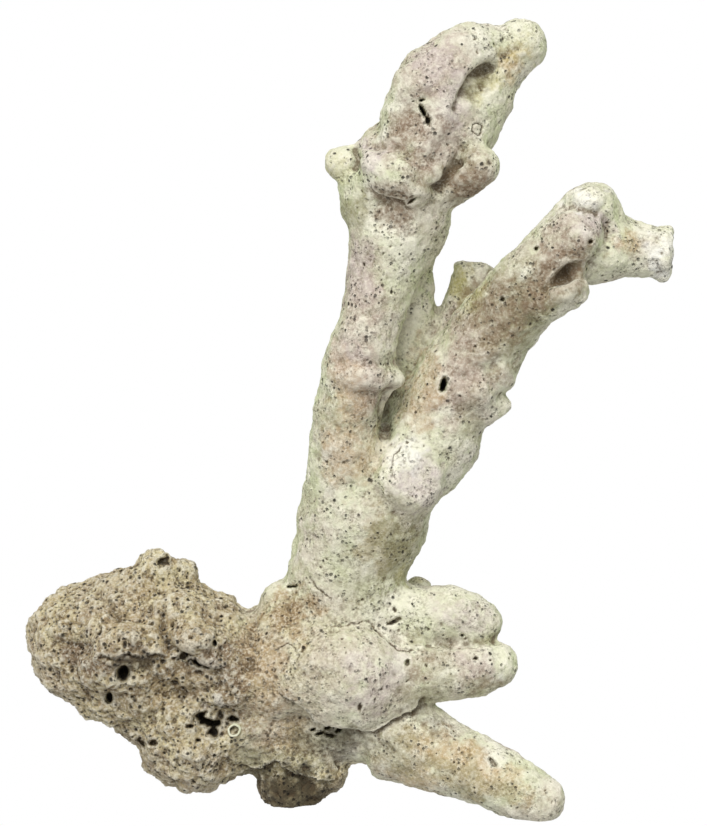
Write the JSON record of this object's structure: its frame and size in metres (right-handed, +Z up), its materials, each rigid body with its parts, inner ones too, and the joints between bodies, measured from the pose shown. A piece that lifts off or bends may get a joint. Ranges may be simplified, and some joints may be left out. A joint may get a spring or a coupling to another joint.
{
  "type": "branching coral",
  "caption": "Dead branching coral: a bored base rock and crusted body with a trunk that forks into thick rounded and broken fingers.",
  "frame": {"origin": "on the sawn underside of the foot, in the plane that the coral rests on", "axes": "+Z up along the trunk, +X towards the broken right tip, -Y the side that the picture shows"},
  "size_m": [0.2428, 0.0782, 0.2979],
  "materials": {
    "crusted_branch": "chalky pale greenish-cream coral skeleton with mauve-grey crust patches, finely pored, fully matt",
    "crusted_body": "smooth cream and pinkish crust over coral, with thin cracks and pits, matt",
    "bored_rock": "tan, rough reef rock full of bore holes and small pits, matt"
  },
  "bodies": {
    "root": {"base_rock": "bored_rock", "base_body": "crusted_body", "foot": "bored_rock", "upper_finger": "crusted_branch", "lower_finger": "crusted_branch", "long_finger": "crusted_branch", "trunk": "crusted_branch", "left_branch": "crusted_branch", "middle_branch": "crusted_branch", "right_limb": "crusted_branch", "back_stub": "crusted_branch", "right_branch": "crusted_branch", "right_tip": "crusted_branch", "crown": "crusted_branch", "crown_left_nub": "crusted_branch", "crown_right_nub": "crusted_branch"}
  },
  "joints": []
}
